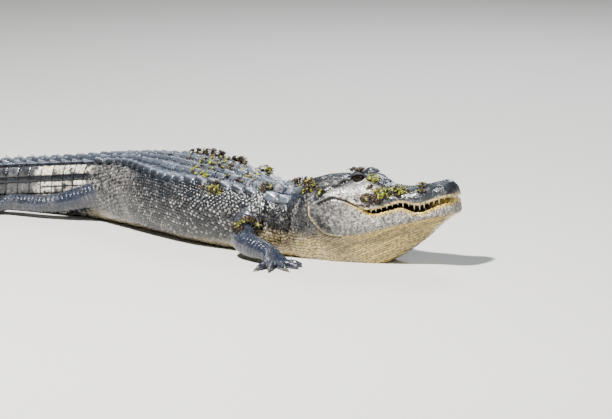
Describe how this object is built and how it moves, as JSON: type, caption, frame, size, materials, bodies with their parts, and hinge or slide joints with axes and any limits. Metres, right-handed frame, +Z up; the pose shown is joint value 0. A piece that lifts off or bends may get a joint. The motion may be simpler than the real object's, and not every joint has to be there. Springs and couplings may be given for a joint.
{
  "type": "american alligator",
  "caption": "Life-size still model of an alligator lying on its belly, head raised and turned, jaws slightly open, hind leg trailing beside its tail.",
  "frame": {"origin": "middle of the flat patch of belly that rests on the floor, under the widest part of the trunk", "axes": "+X forward along the trunk towards the head, +Y to the animal's left, +Z up"},
  "size_m": [2.3155, 0.7903, 0.2281],
  "materials": {
    "skin": "wet glossy dark slate scales",
    "throat_skin": "damp cream to grey scales",
    "scute": "wet glossy horny plates",
    "eye": "wet gloss",
    "tooth": "satin ivory",
    "claw": "satin horn",
    "waterweed": "matt leafy scraps"
  },
  "bodies": {
    "root": {"head": "skin", "neck": "skin", "torso": "skin", "tail_1": "skin", "tail_2": "skin", "tail_3": "skin", "tail_4": "skin", "foreleg_left_upper": "skin", "foreleg_left_lower": "skin", "forefoot_left": "skin", "hindleg_left_upper": "skin", "hindleg_left_lower": "skin", "hindfoot_left": "skin", "foreleg_right_upper": "skin", "foreleg_right_lower": "skin", "forefoot_right": "skin", "hindleg_right_upper": "skin", "hindleg_right_lower": "skin", "hindfoot_right": "skin", "lower_jaw": "throat_skin", "eye_left": "eye", "eye_right": "eye"}
  },
  "joints": []
}
